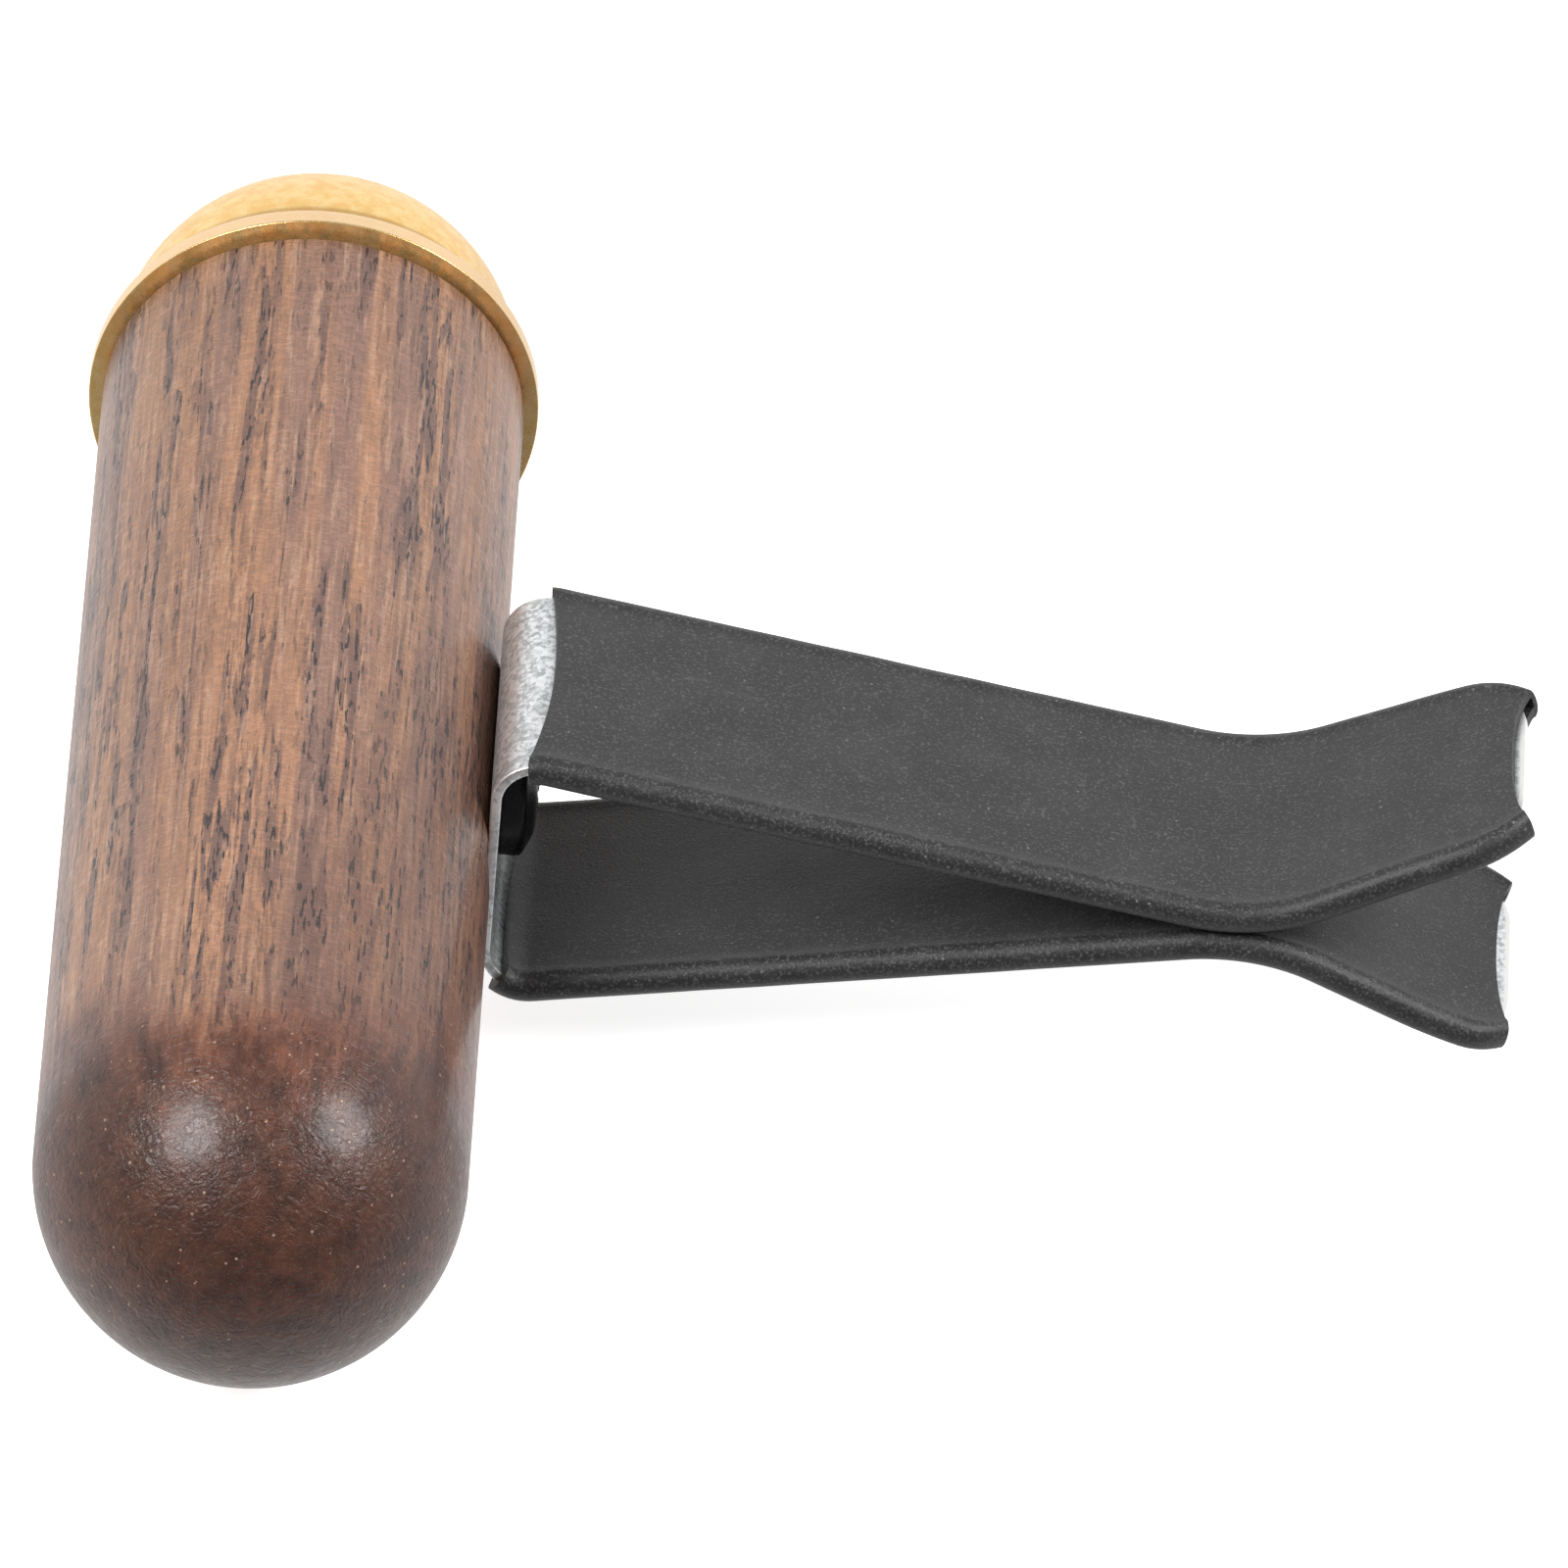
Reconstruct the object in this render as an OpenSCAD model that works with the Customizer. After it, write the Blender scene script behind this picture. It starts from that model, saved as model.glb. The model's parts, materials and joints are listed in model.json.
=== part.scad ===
// Car vent aroma diffuser: a turned wooden barrel with a screw cap, held on a spring clip.
// The origin is the middle of the line where the two jaws meet. +X points out of the jaws'
// mouth into the vent, +Y runs along the barrel towards the cap, and +Z points to the upper jaw.

/* [Barrel] */
// Diameter of the wooden barrel
barrel_d = 18; // [17:0.5:20]
// Length of the barrel's straight part, without the round nose
barrel_straight = 53.1; // [50:0.1:60]
// Distance from the barrel's mouth down to the middle of the clip
clip_drop = 26; // [25.5:0.05:30]
// Diameter of the oil chamber
chamber_d = 10; // [9.5:0.1:10.5]
// Depth of the oil chamber below the barrel's mouth
chamber_depth = 22; // [18:0.5:22.5]
// Depth of the flat milled for the clip
flat_depth = 0.25; // [0.15:0.05:0.5]
// Length of the flat milled for the clip
flat_len = 14; // [13.5:0.1:16]

/* [Cap] */
// Diameter of the cap's flange
flange_d = 19.2; // [18.5:0.1:22]
// Thickness of the cap's flange
flange_t = 0.9; // [0.8:0.1:1.6]
// Diameter of the cap's dome and skirt
dome_d = 17.5; // [16:0.1:18]
// Height of the straight skirt under the dome
skirt_h = 1; // [0.6:0.05:3]
// Gap that the seal keeps between the flange and the wood
seat_gap = 0.3; // [0.1:0.05:0.3]
// Diameter of the threaded spigot
spigot_d = 11; // [10.8:0.1:11.1]
// Length of the threaded spigot
spigot_len = 5; // [4.8:0.1:5.2]
// Diameter of the scent hole in the middle of the dome
vent_d = 2.6; // [1.5:0.1:4]

/* [Clip] */
// Thickness of the spring strip
strip_t = 0.45; // [0.4:0.05:0.5]
// Width of the spring strip
strip_w = 11.9; // [10.7:0.1:12.5]
// Outside radius of the two bends beside the barrel
bend_r = 2; // [1.9:0.05:2.4]
// Distance between the centres of the two bends
bend_span = 7.8; // [7.4:0.1:8.4]
// Angle at which each arm falls towards the pinch
arm_angle = 10; // [9.6:0.1:10.6]
// Radius of the curve that pinches the slat
pinch_r = 9; // [8:0.5:12]
// Angle of the flared lips past the pinch
flare_angle = 25; // [19:1:29]
// Length of each lip's straight part
flare_len = 4; // [3:0.5:6]
// Radius of the curve at the end of each lip
lip_r = 22; // [18:1:26]
// Angle at which each lip ends
lip_angle = 12.5; // [9:0.5:15]

/* [Sleeves] */
// Width of a plastic sleeve
sleeve_w = 12.9; // [12.3:0.1:14]
// Thickness of a plastic sleeve, with the strip inside it
sleeve_t = 1.4; // [1.2:0.1:1.6]
// Depth of the hollow curve across each sleeve's free end
sleeve_dip = 0.9; // [0.4:0.1:1.5]

/* [Screw] */
// Diameter of the screw's pan head
head_d = 5.3; // [4.5:0.1:5.8]
// Height of the screw's pan head
head_h = 1.6; // [1.2:0.1:2]
// Diameter of the screw's shank
shank_d = 2.9; // [2.5:0.1:3]
// Length of the screw below its head
shank_len = 8; // [6:0.5:9]

/* [Hidden] */
$fn = 96;

// Gaps: between still parts, between thread crests, and between the two closed jaws
slip = 0.02;
thread_gap = 0.07;
jaw_gap = 0.06;
// Gap at each bend that lets an arm swing open by 6 degrees
hinge_gap = 0.25;
// Extra length of a cutting shape past a face
over = 1;

// Seal under the flange, and the bush below it
seal_section = 0.96;
seal_play = 0.09;
seal_groove_d = 13.9;
seal_mid_d = 12.4;
insert_d = 13;
insert_len = 6;
wick_d = 9;
spigot_wall = 1.2;
dome_wall = 1;
wick_gap = 0.45;
mouth_edge = 0.2;
tip_corner_r = 3;
cross_w = 0.6;
cross_span = 3;
cross_depth = 0.9;
head_crown = 0.5;
plate_hole_d = 3.2;
shank_tip_len = 2.5;
shank_point_d = 0.6;

// Arm path, seen along the barrel: it leaves its bend, falls at arm_angle and turns at the pinch
bend_mid_r = bend_r - strip_t / 2;
pinch_z = (sleeve_t + jaw_gap) / 2;
arm_drop = bend_span / 2 + bend_mid_r * cos(arm_angle) - pinch_r * (1 - cos(arm_angle)) - pinch_z;
arm_len = arm_drop / sin(arm_angle);
arm_reach = (bend_mid_r + pinch_r) * sin(arm_angle) + arm_len * cos(arm_angle);
bend_centre = [-arm_reach, bend_span / 2];
pinch_centre = [0, pinch_z + pinch_r];
lip_centre = pinch_centre + flare_len * [cos(flare_angle), sin(flare_angle)]
    + (pinch_r + lip_r) * [sin(flare_angle), -cos(flare_angle)];
lip_x = lip_centre[0] - lip_r * sin(lip_angle);
arc_steps = 24;
// Angle about the bend's centre at which a sleeve starts, and angle by which it runs past the lip
sleeve_start = 98;
sleeve_past = 1.5;
sleeve_wall = (sleeve_w - strip_w) / 2;

// Places in the shared frame
plate_x = -arm_reach - bend_r;
barrel_x = plate_x - barrel_d / 2 + flat_depth;
mouth_y = clip_drop;
seal_groove_depth = seal_section + seal_play - seat_gap;
insert_bottom = seal_groove_depth + insert_len;
wick_top = spigot_len + wick_gap;
dome_base = flange_t + skirt_h;

// Points of an arc about a centre, from one angle to another.
function arc(centre, r, from, to) = [
    for (i = [0:arc_steps])
        let (a = from + (to - from) * i / arc_steps)
            centre + r * [cos(a), sin(a)]
];

// One edge of an arm's outline, at an offset from the middle of the strip.
function arm_edge(offset, from, to) = concat(
    arc(bend_centre, bend_mid_r + offset, from, 90 - arm_angle),
    arc(pinch_centre, pinch_r - offset, 270 - arm_angle, 270 + flare_angle),
    arc(lip_centre, lip_r + offset, 90 + flare_angle, 90 + to)
);

// The same points in the opposite order.
function backwards(points) = [for (i = [len(points) - 1:-1:0]) points[i]];

// Puts a shape drawn about +Z on the barrel's axis, with z = 0 at the barrel's mouth.
module on_barrel() {
    translate([barrel_x, mouth_y, 0])
        rotate([-90, 0, 0])
            children();
}

// Puts a shape drawn about +Z on the screw's axis, with z = 0 at the clip's inner face.
module on_screw() {
    translate([plate_x + strip_t, 0, 0])
        rotate([0, 90, 0])
            children();
}

// Leaves an arm on the upper side, or mirrors it to the lower side.
module on_side(side) {
    mirror([0, 0, side < 0 ? 1 : 0])
        children();
}

// Flat ring or tube about +Z.
module tube(outer_d, inner_d, h) {
    difference() {
        cylinder(d = outer_d, h = h);
        translate([0, 0, -over])
            cylinder(d = inner_d, h = h + 2 * over);
    }
}

// Arm of thickness t and width w, from an angle on its bend to an angle on its lip.
module arm(t, w, from, to) {
    rotate([90, 0, 0])
        linear_extrude(w, center = true)
            polygon(concat(arm_edge(t / 2, from, to), backwards(arm_edge(-t / 2, from, to))));
}

// Plan of a strip of width w from x = from to x = to, with round corners at its far end.
module round_end(from, to, w, r) {
    translate([from, -w / 2])
        square([to - r - from, w]);
    translate([from, r - w / 2])
        square([to - from, w - 2 * r]);
    for (side = [-1, 1])
        translate([to - r, side * (w / 2 - r)])
            circle(r);
}

module wood_body() {
    color("saddlebrown")
        difference() {
            on_barrel() {
                translate([0, 0, -barrel_straight])
                    cylinder(d = barrel_d, h = barrel_straight - mouth_edge);
                translate([0, 0, -mouth_edge])
                    cylinder(d1 = barrel_d, d2 = barrel_d - 2 * mouth_edge, h = mouth_edge);
                translate([0, 0, -barrel_straight])
                    sphere(d = barrel_d);
            }
            on_barrel() {
                translate([0, 0, -chamber_depth])
                    cylinder(d = chamber_d, h = chamber_depth + over);
                translate([0, 0, -insert_bottom])
                    cylinder(d = insert_d + 2 * slip, h = insert_bottom + over);
                translate([0, 0, -seal_groove_depth])
                    cylinder(d = seal_groove_d, h = seal_groove_depth + over);
            }
            translate([plate_x, -flat_len / 2, -barrel_d / 2])
                cube([barrel_d, flat_len, barrel_d]);
            on_screw()
                translate([0, 0, -shank_len - strip_t])
                    cylinder(d = shank_d + 2 * slip, h = shank_len + strip_t);
        }
}

module cap() {
    color("gold")
        on_barrel()
            translate([0, 0, seat_gap])
                difference() {
                    union() {
                        cylinder(d = flange_d, h = flange_t);
                        cylinder(d = dome_d, h = dome_base);
                        translate([0, 0, dome_base])
                            rotate_extrude()
                                intersection() {
                                    circle(d = dome_d);
                                    square(dome_d);
                                }
                        translate([0, 0, -spigot_len])
                            cylinder(d = spigot_d, h = spigot_len + flange_t);
                    }
                    translate([0, 0, -spigot_len - over])
                        cylinder(
                            d = spigot_d - 2 * spigot_wall,
                            h = spigot_len + over + dome_base + dome_d / 2 - 2 * dome_wall
                        );
                    cylinder(d = vent_d, h = dome_base + dome_d);
                }
}

module seal_ring() {
    color("dimgray")
        on_barrel()
            translate([0, 0, seat_gap - slip - seal_section / 2])
                rotate_extrude()
                    translate([seal_mid_d / 2, 0])
                        circle(d = seal_section);
}

module thread_insert() {
    color("darkgoldenrod")
        on_barrel()
            translate([0, 0, -insert_bottom])
                tube(insert_d, spigot_d + 2 * thread_gap, insert_len);
}

module scent_core() {
    color("ivory")
        on_barrel()
            translate([0, 0, slip - chamber_depth])
                cylinder(d = wick_d, h = chamber_depth - wick_top);
}

module clip_base() {
    plate_h = bend_span - 2 * hinge_gap;
    color("silver")
        difference() {
            translate([plate_x, -strip_w / 2, -plate_h / 2])
                cube([strip_t, strip_w, plate_h]);
            on_screw()
                translate([0, 0, -strip_t - over])
                    cylinder(d = plate_hole_d, h = strip_t + 2 * over);
        }
}

// Arm that runs past its lip's end by an angle, with its tip cut off at tip_x and rounded in plan.
module tipped_arm(t, w, from, past, tip_x, r) {
    intersection() {
        arm(t, w, from, lip_angle - past);
        linear_extrude(2 * bend_span)
            round_end(plate_x - over, tip_x, w, r);
    }
}

module jaw(side) {
    color("silver")
        on_side(side)
            tipped_arm(strip_t, strip_w, 180, 0, lip_x, tip_corner_r);
}

module sleeve(side) {
    dip_r = (pow(sleeve_w / 2, 2) + pow(sleeve_dip, 2)) / (2 * sleeve_dip);
    bore_t = strip_t + 2 * slip;
    bore_w = strip_w + 2 * slip;
    color("dimgray")
        on_side(side)
            difference() {
                tipped_arm(
                    sleeve_t, sleeve_w, sleeve_start, sleeve_past,
                    lip_x + sleeve_wall, tip_corner_r + sleeve_wall
                );
                tipped_arm(bore_t, bore_w, 180, sleeve_past, lip_x + slip, tip_corner_r + slip);
                translate([lip_x - sleeve_dip / 2 + dip_r, 0, 0])
                    cylinder(r = dip_r, h = 2 * bend_span, $fn = 360);
            }
}

module upper_jaw() { jaw(1); }
module lower_jaw() { jaw(-1); }
module upper_sleeve() { sleeve(1); }
module lower_sleeve() { sleeve(-1); }

module clip_screw() {
    crown_r = (pow(head_d / 2, 2) + pow(head_crown, 2)) / (2 * head_crown);
    color("black")
        on_screw()
            difference() {
                union() {
                    intersection() {
                        cylinder(d = head_d, h = head_h);
                        translate([0, 0, head_h - crown_r])
                            sphere(r = crown_r, $fn = 180);
                    }
                    translate([0, 0, shank_tip_len - shank_len])
                        cylinder(d = shank_d, h = shank_len - shank_tip_len + head_h / 2);
                    translate([0, 0, -shank_len])
                        cylinder(d1 = shank_point_d, d2 = shank_d, h = shank_tip_len);
                }
                for (turn = [0, 90])
                    rotate([0, 0, turn + 45])
                        translate([-cross_span / 2, -cross_w / 2, head_h - cross_depth])
                            cube([cross_span, cross_w, cross_depth + over]);
            }
}

wood_body();
cap();
seal_ring();
thread_insert();
scent_core();
clip_base();
upper_jaw();
lower_jaw();
upper_sleeve();
lower_sleeve();
clip_screw();
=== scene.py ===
"""Car vent aroma diffuser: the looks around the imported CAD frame.

Lengths are in millimetres until a mesh is made. Lights are placed in metres.
"""

import json
import math

import bmesh
import bpy
import numpy as np
from mathutils import Matrix, Vector, noise


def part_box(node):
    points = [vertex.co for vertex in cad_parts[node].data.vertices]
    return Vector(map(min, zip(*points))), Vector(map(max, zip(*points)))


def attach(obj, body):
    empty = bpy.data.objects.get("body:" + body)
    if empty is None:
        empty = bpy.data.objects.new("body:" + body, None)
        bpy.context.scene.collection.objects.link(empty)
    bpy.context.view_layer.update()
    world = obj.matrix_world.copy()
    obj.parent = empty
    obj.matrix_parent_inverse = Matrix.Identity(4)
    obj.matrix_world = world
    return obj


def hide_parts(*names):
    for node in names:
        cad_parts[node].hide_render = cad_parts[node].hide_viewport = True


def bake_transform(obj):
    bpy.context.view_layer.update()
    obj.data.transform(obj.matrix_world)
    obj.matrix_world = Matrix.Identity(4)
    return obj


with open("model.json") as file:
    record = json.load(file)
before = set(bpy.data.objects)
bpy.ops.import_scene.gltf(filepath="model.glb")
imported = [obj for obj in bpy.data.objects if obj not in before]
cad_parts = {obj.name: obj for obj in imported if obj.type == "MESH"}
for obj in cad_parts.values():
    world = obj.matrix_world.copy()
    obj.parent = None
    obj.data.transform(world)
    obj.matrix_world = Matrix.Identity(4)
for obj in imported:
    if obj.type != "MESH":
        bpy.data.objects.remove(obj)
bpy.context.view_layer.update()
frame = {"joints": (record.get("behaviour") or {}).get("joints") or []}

MM = 0.001

# ---------------------------------------------------------------- sizes, from the frame and from the design
JOINTS = {joint["name"]: joint for joint in frame["joints"]}
BODY_OF_SIDE = {1: "upper_arm", -1: "lower_arm"}
NAME_OF_SIDE = {1: "upper", -1: "lower"}


def box_mm(node):
    """Lowest and highest corner of a CAD node, in millimetres."""
    low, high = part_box(node)
    return np.array(low) / MM, np.array(high) / MM


WOOD_LOW, WOOD_HIGH = box_mm("wood_body")
CAP_LOW, CAP_HIGH = box_mm("cap")
PLATE_LOW, PLATE_HIGH = box_mm("clip_base")
SLEEVE_LOW, SLEEVE_HIGH = box_mm("upper_sleeve")
SCREW_LOW, SCREW_HIGH = box_mm("clip_screw")
INSERT_LOW, INSERT_HIGH = box_mm("thread_insert")
WICK_LOW, WICK_HIGH = box_mm("scent_core")

BARREL_X = JOINTS["cap_turn"]["pos_m"][0] / MM
BARREL_R = (WOOD_HIGH[2] - WOOD_LOW[2]) / 2
MOUTH_Y = WOOD_HIGH[1]
NOSE_Y = WOOD_LOW[1] + BARREL_R
FLAT_DEPTH = BARREL_R - (PLATE_LOW[0] - BARREL_X)
FLAT_HALF = 7.0
CHAMBER_R = 5.0
CHAMBER_DEPTH = 22.0
SEAL_GROOVE_R = 6.95
SEAL_FLASH = 0.03
INSERT_R = (INSERT_HIGH[0] - INSERT_LOW[0]) / 2
INSERT_TOP = INSERT_HIGH[1] - MOUTH_Y
INSERT_BOTTOM = INSERT_LOW[1] - MOUTH_Y
KNURL_TEETH = 48
KNURL_DEPTH = 0.12
MOUTH_EDGE = 0.2
FIT_GAP = 0.02

FLANGE_R = (CAP_HIGH[2] - CAP_LOW[2]) / 2
FLANGE_T = 0.9
DOME_R = 8.75
SKIRT_H = 1.0
DOME_BASE = FLANGE_T + SKIRT_H
SPIGOT_R = 5.5
SPIGOT_BORE_R = 4.3
SPIGOT_LEN = 5.0
SEAT_Y = CAP_LOW[1] + SPIGOT_LEN
CAP_BORE_TOP = 8.65
VENT_R = 1.3
THREAD_PITCH = 1.0
THREAD_DEPTH = 0.4
THREAD_GAP = 0.07

HINGE_X = JOINTS["upper_arm_open"]["pos_m"][0] / MM
HINGE_Z = JOINTS["upper_arm_open"]["pos_m"][2] / MM
STRIP_T = PLATE_HIGH[0] - PLATE_LOW[0]
STRIP_W = PLATE_HIGH[1] - PLATE_LOW[1]
PLATE_X = (PLATE_LOW[0] + PLATE_HIGH[0]) / 2
PLATE_TOP = PLATE_HIGH[2]
BEND_R = HINGE_X - PLATE_X
SLEEVE_W = SLEEVE_HIGH[1] - SLEEVE_LOW[1]
SLEEVE_T = 1.4
ARM_ANGLE = 10.0
PINCH_R = 9.0
PINCH_Z = 0.73
FLARE_ANGLE = 26.8
FLARE_LEN = 4.0
LIP_LEN = 4.85
LIP_ANGLE_OF_SIDE = {1: 21.0, -1: 12.6}
TIP_CORNER_R = 3.0
TAPER_LEN = 12.0
SLEEVE_TAPER = 0.41
BEAD_H = 0.08
BEAD_W = 0.3
DRAW_IN_OF_SIDE = {1: (1.6, 3.0), -1: (1.2, 2.4)}
PLATE_HOLE_R = 1.6

HEAD_R = (SCREW_HIGH[2] - SCREW_LOW[2]) / 2
HEAD_H = SCREW_HIGH[0] - PLATE_HIGH[0]
SHANK_R = 1.45
SHANK_LEN = PLATE_HIGH[0] - SCREW_LOW[0]
POINT_LEN = 2.5
SCREW_PITCH = 1.1
SCREW_THREAD = 0.28
RECESS_DEPTH = 1.9
RECESS_SPAN = 3.1
RECESS_SLOT = 0.62
RECESS_TAPER = 0.55
RECESS_TURN = 40

CAMERA_AZIMUTH = -0.915
CAMERA_ELEVATION = 37.0
CAMERA_ROLL = 4.888
CAMERA_DISTANCE = 1211.4
CAMERA_LENS = 662.5
SENSOR_WIDTH = 36.0
CAMERA_AIM = (-18.75, 2.164, -0.137)
ROOM_AXIS = (0.0, 0.8, -0.6)
FRONT_LIGHT = 0.18
BACK_LIGHT = 1.05
FLOOR_GLOW = 0.8
BOX_WATTS = 3.2
BOX_SIZE = 0.3
BOX_DISTANCE = 0.6
LEFT_BOX_WAY = (-0.575, -0.464, 0.674)
RIGHT_BOX_WAY = (0.681, -0.227, 0.696)


# ---------------------------------------------------------------- mesh helpers
def smoothstep(low, high, value):
    """0 below low, 1 above high, and a smooth rise between them."""
    t = np.clip((np.asarray(value, float) - low) / (high - low), 0, 1)
    return t * t * (3 - 2 * t)


def rounded(corners, closed=True, arc_steps=5):
    """Outline through (x, y, radius) corners, each rounded to its radius."""
    outline = []
    for i, (x, y, radius) in enumerate(corners):
        here = np.array((x, y), float)
        if radius == 0 or (not closed and i in (0, len(corners) - 1)):
            outline.append(here)
            continue
        to_last = np.array(corners[i - 1][:2], float) - here
        to_next = np.array(corners[(i + 1) % len(corners)][:2], float) - here
        to_last /= np.linalg.norm(to_last)
        to_next /= np.linalg.norm(to_next)
        half = math.acos(float(np.clip(to_last @ to_next, -1, 1))) / 2
        middle = to_last + to_next
        centre = here + middle / np.linalg.norm(middle) * radius / math.sin(half)
        first = here + to_last * radius / math.tan(half) - centre
        last = here + to_next * radius / math.tan(half) - centre
        start = math.atan2(first[1], first[0])
        sweep = math.atan2(last[1], last[0]) - start
        sweep = (sweep + math.pi) % (2 * math.pi) - math.pi
        for k in range(arc_steps + 1):
            angle = start + sweep * k / arc_steps
            outline.append(centre + radius * np.array((math.cos(angle), math.sin(angle))))
    return np.array(outline)


def divided(outline, step, closed=True):
    """The same outline with no stretch longer than step."""
    finer = []
    count = len(outline) if closed else len(outline) - 1
    for i in range(count):
        a, b = outline[i], outline[(i + 1) % len(outline)]
        parts = max(1, math.ceil(np.linalg.norm(b - a) / step))
        finer.extend(a + (b - a) * k / parts for k in range(parts))
    if not closed:
        finer.append(outline[-1])
    return np.array(finer)


def grid_faces(rows, columns, wrap_rows=False):
    """Faces of a grid of points whose columns close on themselves."""
    last = rows if wrap_rows else rows - 1
    return [
        (
            i * columns + j,
            i * columns + (j + 1) % columns,
            (i + 1) % rows * columns + (j + 1) % columns,
            (i + 1) % rows * columns + j,
        )
        for i in range(last)
        for j in range(columns)
    ]


def make_piece(name, points, faces, material, sharp=35):
    """A closed, smooth-shaded mesh object from points in millimetres."""
    mesh = bpy.data.meshes.new(name)
    mesh.from_pydata((np.asarray(points, float) * MM).tolist(), [], faces)
    work = bmesh.new()
    work.from_mesh(mesh)
    bmesh.ops.remove_doubles(work, verts=work.verts, dist=1e-7)
    bmesh.ops.dissolve_degenerate(work, dist=1e-8, edges=work.edges)
    bmesh.ops.recalc_face_normals(work, faces=work.faces)
    work.to_mesh(mesh)
    work.free()
    mesh.shade_smooth()
    mesh.set_sharp_from_angle(angle=math.radians(sharp))
    mesh.materials.append(material)
    piece = bpy.data.objects.new(name, mesh)
    bpy.context.scene.collection.objects.link(piece)
    return piece


def revolved(outline, segments, place, wrap=True, shape=None):
    """Points and faces of an (r, h) outline turned about an axis. shape(r, h, angle) may change r."""
    angles = np.arange(segments) * 2 * math.pi / segments
    points = []
    for r, h in outline:
        radii = np.full(segments, r) if shape is None else shape(r, h, angles)
        points.extend(place(radii * np.cos(angles), radii * np.sin(angles), np.full(segments, h)).T)
    return np.array(points), grid_faces(len(outline), segments, wrap)


def on_barrel(a, b, h):
    """Places a shape turned about the barrel's axis, with h = 0 at the barrel's mouth."""
    return np.array((BARREL_X + a, MOUTH_Y + h, b))


def on_cap(a, b, h):
    """Places a shape turned about the barrel's axis, with h = 0 under the cap's flange."""
    return np.array((BARREL_X + a, SEAT_Y + h, b))


def on_screw(a, b, h):
    """Places a shape turned about the screw's axis, with h = 0 at the clip's inner face."""
    return np.array((PLATE_HIGH[0] + h, a, b))


def carve(piece, cutter):
    """Cuts the cutter out of the piece for good."""
    modifier = piece.modifiers.new("carve", "BOOLEAN")
    modifier.operation = "DIFFERENCE"
    modifier.solver = "EXACT"
    modifier.object = cutter
    depsgraph = bpy.context.evaluated_depsgraph_get()
    carved = bpy.data.meshes.new_from_object(piece.evaluated_get(depsgraph))
    piece.modifiers.clear()
    piece.data = carved
    bpy.data.objects.remove(cutter)


def thread_wave(h, angles):
    """0 in the roots and 1 on the crests of a right-hand thread about the barrel's axis."""
    phase = (h / THREAD_PITCH + angles / (2 * math.pi)) % 1.0
    return smoothstep(0.12, 0.42, 0.5 - np.abs(phase - 0.5))


# ---------------------------------------------------------------- the clip's path
def walker(start, heading, steps):
    """Follows steps of (length, turn, turn radius).

    Returns place(s), which gives the point and the normal at a distance s, and the whole length.
    """
    stretches = []
    s, point, heading = 0.0, np.array(start, float), math.radians(heading)
    for length, turn, radius in steps:
        stretches.append((s, point, heading, 0.0))
        s += length
        point = point + length * np.array((math.cos(heading), math.sin(heading)))
        curve = math.copysign(1 / radius, turn)
        stretches.append((s, point, heading, curve))
        s += radius * math.radians(abs(turn))
        after = heading + math.radians(turn)
        chord = np.array((math.sin(after) - math.sin(heading), math.cos(heading) - math.cos(after)))
        point, heading = point + chord / curve, after

    def place(at):
        passed = [stretch for stretch in stretches if stretch[0] <= at + 1e-9]
        begin, origin, angle, curve = passed[-1] if passed else stretches[0]
        ahead = at - begin
        if curve == 0.0:
            here = origin + ahead * np.array((math.cos(angle), math.sin(angle)))
            now = angle
        else:
            now = angle + ahead * curve
            chord = np.array((math.sin(now) - math.sin(angle), math.cos(angle) - math.cos(now)))
            here = origin + chord / curve
        return here, np.array((-math.sin(now), math.cos(now)))

    return place, s


def arm_walk(side):
    """The middle of an arm's strip, from the plate's end to the lip. The two lips are not bent quite alike."""
    slope = math.radians(ARM_ANGLE)
    lip_turn = FLARE_ANGLE - LIP_ANGLE_OF_SIDE[side]
    drop = HINGE_Z + BEND_R * math.cos(slope) - PINCH_R * (1 - math.cos(slope)) - PINCH_Z
    steps = [
        (HINGE_Z - PLATE_TOP, -(90 + ARM_ANGLE), BEND_R),
        (drop / math.sin(slope), ARM_ANGLE + FLARE_ANGLE, PINCH_R),
        (FLARE_LEN, -lip_turn, LIP_LEN / math.radians(lip_turn)),
    ]
    return walker((PLATE_X, PLATE_TOP), 90, steps)


ARMS = {side: arm_walk(side) for side in (1, -1)}
ARM_LENGTH = ARMS[1][1]
ARM_START = HINGE_Z - PLATE_TOP + BEND_R * math.radians(90 + ARM_ANGLE)


def flat_loop(half_t, half_w, radius, across, corner_steps=4):
    """Loop of (offset, y) round a flat section. Point j mirrors the point j from the end."""
    corners = [(0, half_w, 0), (half_t, half_w, radius), (half_t, -half_w, radius), (0, -half_w, 0)]
    top = rounded(corners, closed=False, arc_steps=corner_steps)
    wide = [i for i in range(len(top) - 1) if abs(top[i + 1][1] - top[i][1]) > half_w]
    split = wide[0]
    eased = [(1 - math.cos(math.pi * k / across)) / 2 for k in range(1, across)]
    between = [top[split] + (top[split + 1] - top[split]) * e for e in eased]
    top = np.array([*top[: split + 1], *between, *top[split + 1 :]])
    bottom = top[-2:0:-1] * (-1, 1)
    return np.vstack((top, bottom))


def swept(loop_at, rows, s_at, side):
    """Grid of points along the arm. loop_at(u) gives the section and s_at(u, y, offset) the distance along it."""
    points = []
    for i in range(rows):
        u = i / (rows - 1)
        for offset, y in loop_at(u):
            here, normal = ARMS[side][0](s_at(u, y, offset))
            x, z = here + offset * normal
            points.append((x, y, z * side))
    return np.array(points)


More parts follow.
